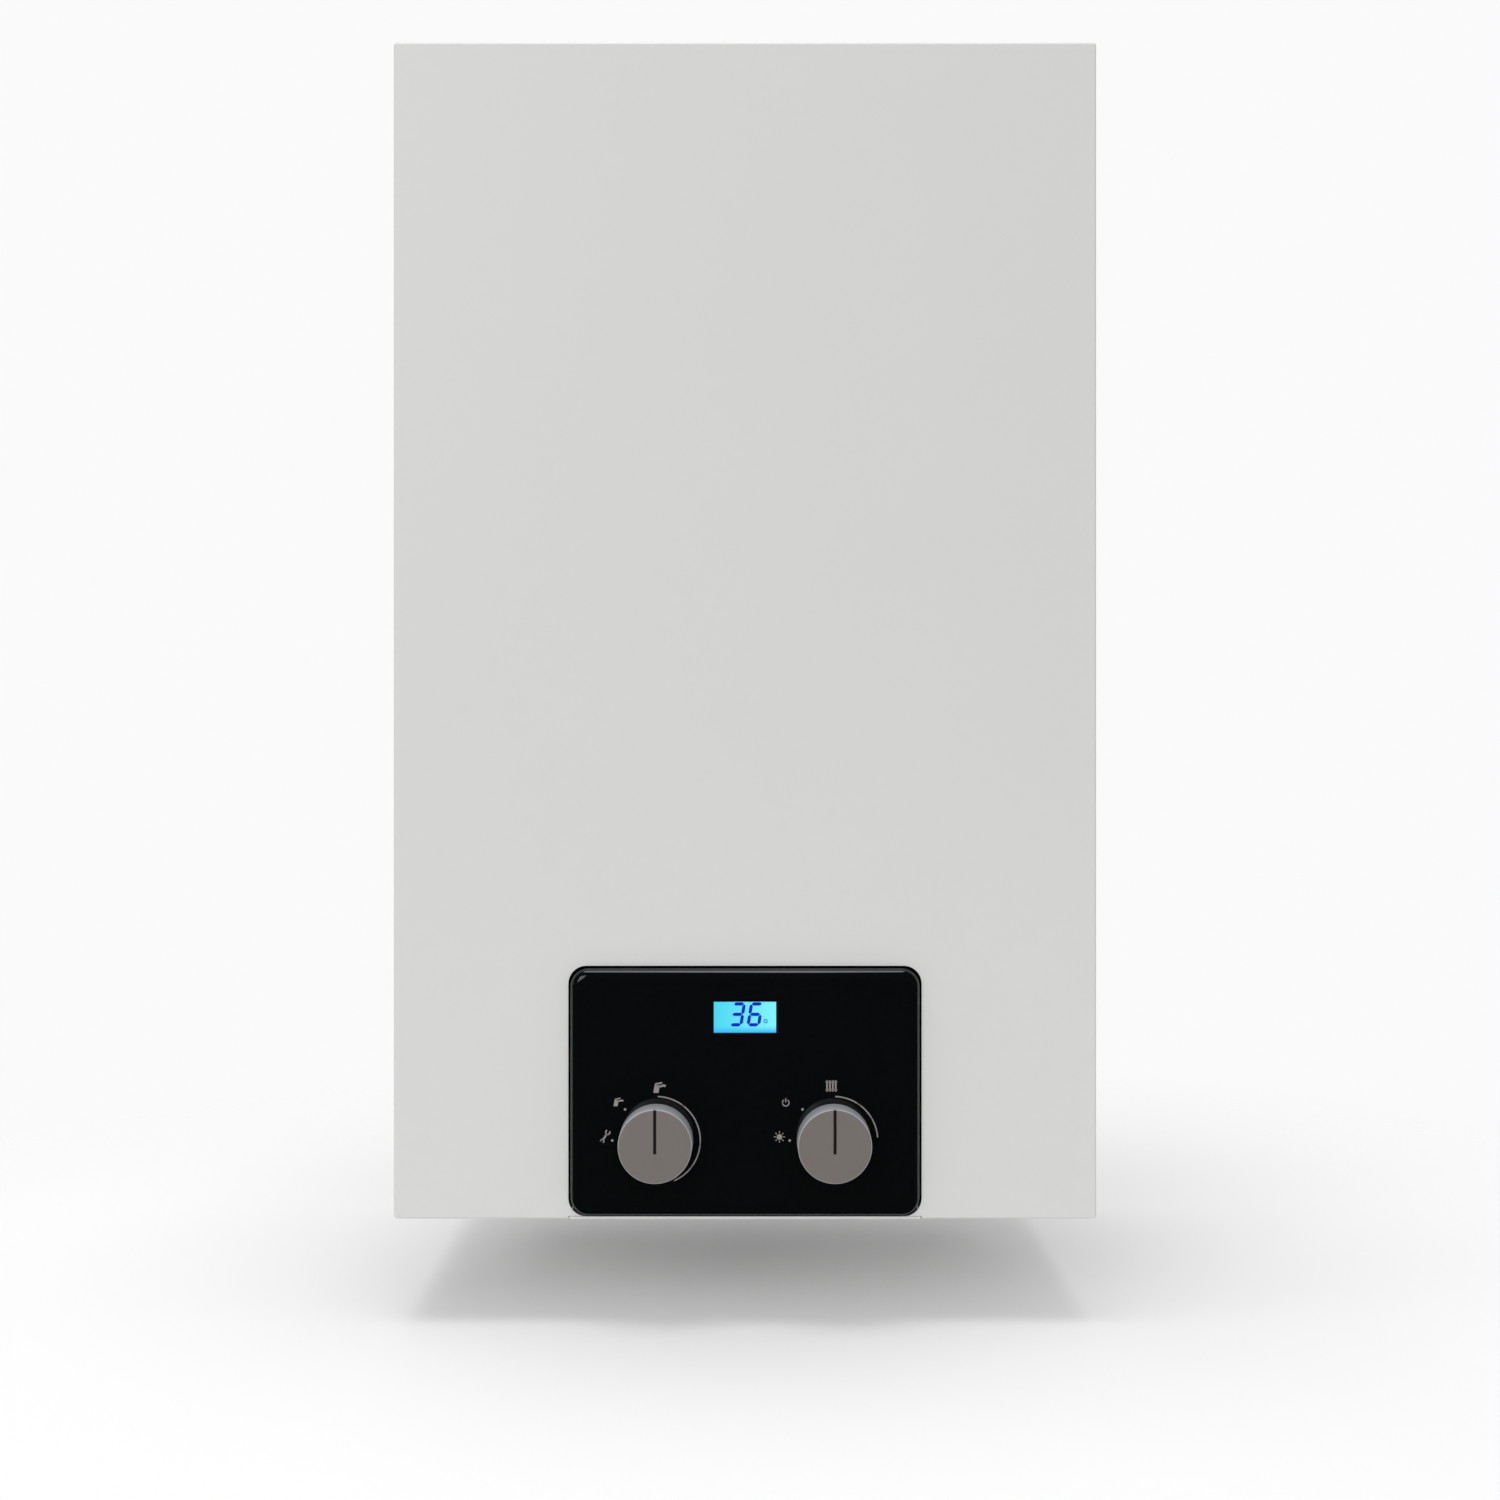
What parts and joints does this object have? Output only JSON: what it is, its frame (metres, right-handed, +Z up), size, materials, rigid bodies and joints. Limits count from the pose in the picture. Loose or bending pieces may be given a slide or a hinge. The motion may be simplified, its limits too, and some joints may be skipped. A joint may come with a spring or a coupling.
{
  "type": "combi boiler",
  "caption": "Wall-hung condensing combi boiler: light steel casing, glossy black control panel with display and knobs, burner, pump and water parts inside.",
  "frame": {"origin": "middle of the wall bracket's rear face, on the wall plane", "axes": "+Z up, +Y into the wall, so the front faces -Y; +X to the right seen from the front"},
  "size_m": [0.43, 0.3356, 0.7854],
  "materials": {
    "case_paint": "satin powder coat, light grey-white",
    "zinc_sheet": "zinc-plated sheet",
    "gloss_black": "polished black moulding",
    "dark_plastic": "fine textured moulding",
    "grey_plastic": "smooth moulding",
    "white_plastic": "satin moulding",
    "knob_metal": "turned satin face",
    "display": "backlit liquid-crystal display",
    "clear_pane": "clear",
    "circuit_board": "green solder resist",
    "stainless_steel": "satin",
    "cast_aluminium": "as cast",
    "brass": "machined",
    "copper": "drawn tube",
    "vessel_enamel": "grey enamel",
    "black_rubber": "braided hose",
    "red_plastic": "moulded",
    "ceramic": "glazed"
  },
  "bodies": {
    "boiler_frame": {"wall_bracket": "zinc_sheet", "back_frame": "zinc_sheet", "left_side_panel": "case_paint", "right_side_panel": "case_paint", "top_panel": "case_paint", "bottom_panel": "case_paint", "cable_gland": "dark_plastic", "flow_nipple": "brass", "hot_water_nipple": "brass", "gas_nipple": "brass", "cold_water_nipple": "brass", "return_nipple": "brass", "left_hinge_arm": "zinc_sheet", "right_hinge_arm": "zinc_sheet", "heat_exchanger": "stainless_steel", "burner_door": "cast_aluminium", "burner_tube": "stainless_steel", "ignition_electrode": "ceramic", "fan_housing": "cast_aluminium", "fan_motor": "dark_plastic", "premix_duct": "cast_aluminium", "venturi": "cast_aluminium", "air_silencer": "dark_plastic", "exchanger_bracket": "zinc_sheet", "flue_duct": "stainless_steel", "flue_collar": "white_plastic", "expansion_vessel": "vessel_enamel", "gas_valve": "cast_aluminium", "diverter_block": "brass", "diverter_actuator": "dark_plastic", "return_block": "brass", "relief_valve": "brass", "filling_valve": "brass", "plate_heat_exchanger": "stainless_steel", "hot_water_pipe": "copper", "cold_water_pipe": "copper", "pump_housing": "dark_plastic", "pump_motor": "cast_aluminium", "siphon_trap": "grey_plastic", "flow_pipe": "copper", "return_pipe": "copper", "gas_pipe": "copper", "mixture_gas_tube": "copper", "vessel_hose": "black_rubber", "condensate_hose": "grey_plastic"},
    "front_cover": {"front_cover": "case_paint"},
    "control_panel": {"control_box": "dark_plastic", "fascia": "gloss_black", "display_window": "clear_pane", "display_module": "display", "control_board": "circuit_board"},
    "hot_water_control": {"hot_water_knob": "knob_metal", "hot_water_shaft": "white_plastic"},
    "heating_control": {"heating_knob": "knob_metal", "heating_shaft": "white_plastic"},
    "fan_rotor": {"fan_impeller": "cast_aluminium"},
    "pump_rotor": {"pump_impeller": "stainless_steel"},
    "diverter_spool": {"diverter_stem": "stainless_steel"},
    "relief_control": {"relief_knob": "red_plastic"},
    "filling_lever": {"filling_handle": "dark_plastic"}
  },
  "joints": [
    {"name": "front_cover_lift_off", "type": "slide", "parent": "boiler_frame", "child": "front_cover", "axis": [0, -1, 0], "range_m": [0, 0.25]},
    {"name": "control_panel_tilt", "type": "hinge", "parent": "boiler_frame", "child": "control_panel", "pos_m": [0, -0.309, -0.6502], "axis": [1, 0, 0], "range_deg": [0, 70]},
    {"name": "hot_water_knob_turn", "type": "hinge", "parent": "control_panel", "child": "hot_water_control", "pos_m": [-0.054, -0.3166, -0.6108], "axis": [0, 1, 0], "range_deg": [-90, 165]},
    {"name": "heating_knob_turn", "type": "hinge", "parent": "control_panel", "child": "heating_control", "pos_m": [0.054, -0.3166, -0.6108], "axis": [0, 1, 0], "range_deg": [-90, 165]},
    {"name": "fan_spin", "type": "hinge", "parent": "boiler_frame", "child": "fan_rotor", "pos_m": [0.11, -0.2626, -0.06], "axis": [0, 1, 0], "continuous": true},
    {"name": "pump_spin", "type": "hinge", "parent": "boiler_frame", "child": "pump_rotor", "pos_m": [0.1508, -0.084, -0.47], "axis": [0, 1, 0], "continuous": true},
    {"name": "diverter_shift", "type": "slide", "parent": "boiler_frame", "child": "diverter_spool", "axis": [0, 0, 1], "range_m": [0, 0.008]},
    {"name": "relief_knob_turn", "type": "hinge", "parent": "boiler_frame", "child": "relief_control", "pos_m": [0.13, -0.1648, -0.6], "axis": [0, -1, 0], "range_deg": [0, 90]},
    {"name": "filling_handle_turn", "type": "hinge", "parent": "boiler_frame", "child": "filling_lever", "pos_m": [0.065, -0.1423, -0.6], "axis": [0, 1, 0], "range_deg": [0, 90]}
  ]
}
